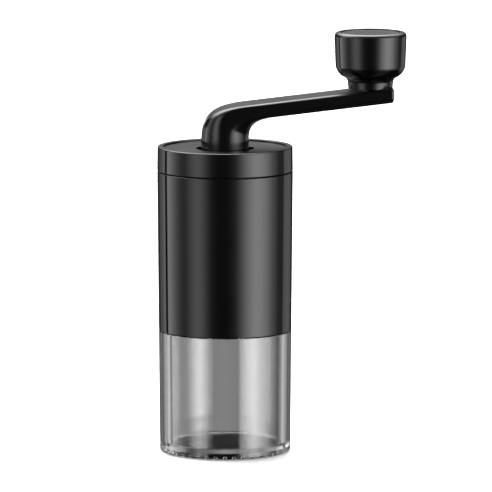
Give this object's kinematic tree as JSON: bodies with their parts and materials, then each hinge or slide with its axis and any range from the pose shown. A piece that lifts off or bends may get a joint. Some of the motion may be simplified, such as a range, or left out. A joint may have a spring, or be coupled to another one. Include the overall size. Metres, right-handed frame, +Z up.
{
  "type": "hand crank coffee grinder",
  "caption": "Slim cylindrical hand coffee grinder: clear catch cup, dark hopper body, lid with a captive cranked arm and a turning knob, cone burrs inside.",
  "frame": {"origin": "centre of the foot, on the surface that the grinder stands on", "axes": "+Z up along the body's axis; +X from the body's axis towards the knob at rest; +Y completes the frame"},
  "size_m": [0.1027, 0.0558, 0.1732],
  "materials": {
    "clear_polymer": "clear, polished",
    "black_rubber": "matt",
    "black_plastic": "satin gloss",
    "core_plastic": "fine matt",
    "burr_steel": "ground",
    "plain_steel": "plain",
    "sintered_bronze": "sintered, oiled",
    "brass_insert": "turned",
    "nylon": "natural",
    "crank_nylon": "satin gloss",
    "cap_plastic": "fine matt"
  },
  "bodies": {
    "housing": {"outer_sleeve": "black_plastic", "inner_core": "core_plastic", "burr_carrier": "core_plastic", "outer_burr": "burr_steel", "burr_retainer": "plain_steel", "burr_screws": "plain_steel", "lower_bush": "sintered_bronze", "upper_bush": "sintered_bronze", "upper_bridge": "core_plastic"},
    "cup": {"catch_cup": "clear_polymer", "base_pad": "black_rubber", "cup_seal": "black_rubber"},
    "shaft": {"drive_shaft": "plain_steel", "thrust_washer": "plain_steel"},
    "moving_burr": {"inner_burr": "burr_steel", "spring_washer": "plain_steel", "click_plate": "plain_steel", "burr_spring": "plain_steel"},
    "adjuster": {"adjuster_dial": "core_plastic", "adjuster_insert": "brass_insert"},
    "lid": {"lid_cap": "black_plastic", "lid_plug": "core_plastic", "lid_bush": "nylon", "lid_seal": "black_rubber", "lid_screws": "plain_steel"},
    "crank": {"crank_arm": "crank_nylon", "hex_insert": "plain_steel", "boss_clip": "plain_steel", "knob_stud": "plain_steel", "knob_washer": "nylon"},
    "knob": {"knob_body": "black_plastic", "knob_sleeve": "nylon", "knob_cap": "cap_plastic"}
  },
  "joints": [
    {"name": "cup_release", "type": "slide", "parent": "housing", "child": "cup", "axis": [0, 0, -1], "range_m": [0, 0.03]},
    {"name": "lid_lift", "type": "slide", "parent": "housing", "child": "lid", "axis": [0, 0, 1], "range_m": [0, 0.03]},
    {"name": "crank_spin", "type": "hinge", "parent": "lid", "child": "crank", "pos_m": [0, 0, 0.12], "axis": [0, 0, 1], "continuous": true},
    {"name": "knob_spin", "type": "hinge", "parent": "crank", "child": "knob", "pos_m": [0.05985, 0, 0.16], "axis": [0, 0, 1], "continuous": true},
    {"name": "shaft_spin", "type": "hinge", "parent": "housing", "child": "shaft", "pos_m": [0, 0, 0.09], "axis": [0, 0, 1], "continuous": true},
    {"name": "burr_gap", "type": "slide", "parent": "shaft", "child": "moving_burr", "axis": [0, 0, -1], "range_m": [-0.0005, 0.0015], "deforming": ["burr_spring"]},
    {"name": "adjuster_turn", "type": "hinge", "parent": "moving_burr", "child": "adjuster", "pos_m": [0, 0, 0.057], "axis": [0, 0, -1], "range_deg": [-180, 540]}
  ],
  "couplings": [
    {"joint": "shaft_spin", "follows": "crank_spin", "ratio": 1},
    {"joint": "adjuster_turn", "follows": "burr_gap", "rad_per_m": 6283.2}
  ]
}
